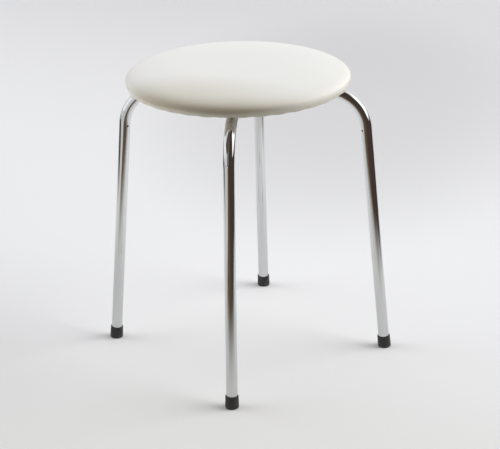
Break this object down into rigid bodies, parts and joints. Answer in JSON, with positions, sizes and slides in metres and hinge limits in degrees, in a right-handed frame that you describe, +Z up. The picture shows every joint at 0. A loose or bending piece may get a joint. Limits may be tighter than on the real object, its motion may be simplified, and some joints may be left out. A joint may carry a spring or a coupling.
{
  "type": "stool",
  "caption": "Low round stool: a thin padded vinyl seat on bent chromed tube legs that lean out a little and end in black rubber ferrules.",
  "frame": {"origin": "on the floor under the middle of the leg frame, where the planes of the legs cross", "axes": "+Z up; one leg lies over each of +X (right), +Y (back), -X (left) and -Y (front)"},
  "size_m": [0.4542, 0.4542, 0.461],
  "materials": {
    "vinyl": "soft satin, off-white vinyl",
    "foam": "matt open foam",
    "plywood": "bare birch plywood",
    "chrome": "mirror-bright plating",
    "weld": "plating over a rippled weld bead",
    "zinc_steel": "dull zinc plating",
    "black_rubber": "matt moulded rubber",
    "black_nylon": "fine moulded grain"
  },
  "bodies": {
    "root": {"seat_cover": "vinyl", "foam_pad": "foam", "seat_board": "plywood", "hub_ring": "chrome", "leg_right": "chrome", "leg_back": "chrome", "leg_left": "chrome", "leg_front": "chrome", "hub_weld_right": "weld", "hub_weld_back": "weld", "hub_weld_left": "weld", "hub_weld_front": "weld", "foot_right": "black_rubber", "foot_back": "black_rubber", "foot_left": "black_rubber", "foot_front": "black_rubber", "foot_washer_right": "zinc_steel", "foot_washer_back": "zinc_steel", "foot_washer_left": "zinc_steel", "foot_washer_front": "zinc_steel", "saddle_spacer_right": "black_nylon", "saddle_spacer_back": "black_nylon", "saddle_spacer_left": "black_nylon", "saddle_spacer_front": "black_nylon", "saddle_washer_right": "black_nylon", "saddle_washer_back": "black_nylon", "saddle_washer_left": "black_nylon", "saddle_washer_front": "black_nylon", "seat_screw_right": "zinc_steel", "seat_screw_back": "zinc_steel", "seat_screw_left": "zinc_steel", "seat_screw_front": "zinc_steel", "insert_nut_right": "zinc_steel", "insert_nut_back": "zinc_steel", "insert_nut_left": "zinc_steel", "insert_nut_front": "zinc_steel"}
  },
  "joints": []
}
